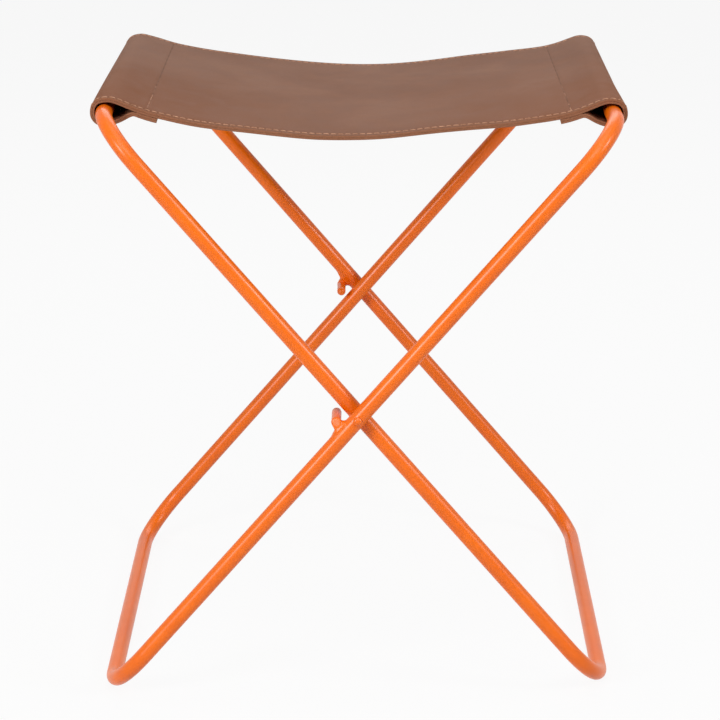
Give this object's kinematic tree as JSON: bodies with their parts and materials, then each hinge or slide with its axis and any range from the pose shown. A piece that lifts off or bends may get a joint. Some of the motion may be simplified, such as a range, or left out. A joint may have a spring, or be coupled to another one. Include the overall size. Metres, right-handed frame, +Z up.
{
  "type": "folding stool",
  "caption": "X-frame folding stool: crossed frames of bent round bar turn on rivets and carry a sewn leather sling seat.",
  "frame": {"origin": "on the floor, under the middle of the stool as it stands open", "axes": "+X from the left seat bar to the right one, +Y from front to back, +Z up"},
  "size_m": [0.3854, 0.4, 0.442],
  "materials": {
    "powder_coat": "glossy orange powder coat",
    "nylon": "matte black nylon",
    "leather": "smooth brown leather, satin",
    "lining": "brown leather, flesh side, matte",
    "thread": "waxed tan thread"
  },
  "bodies": {
    "right_frame": {"right_frame": "powder_coat", "rear_rivet": "powder_coat", "front_washer": "nylon", "rear_washer": "nylon", "front_stop_hook": "powder_coat", "seat_leather": "leather", "seat_lining": "lining", "front_edge_stitching": "thread", "rear_edge_stitching": "thread", "left_cross_stitching": "thread", "right_cross_stitching": "thread"},
    "left_frame": {"left_frame": "powder_coat", "front_rivet": "powder_coat", "rear_stop_hook": "powder_coat"}
  },
  "joints": [
    {"name": "fold", "type": "hinge", "parent": "right_frame", "child": "left_frame", "pos_m": [0, 0, 0.21828], "axis": [0, 1, 0], "range_deg": [0, 67], "deforming": ["seat_leather", "seat_lining", "front_edge_stitching", "rear_edge_stitching", "left_cross_stitching", "right_cross_stitching"]}
  ]
}
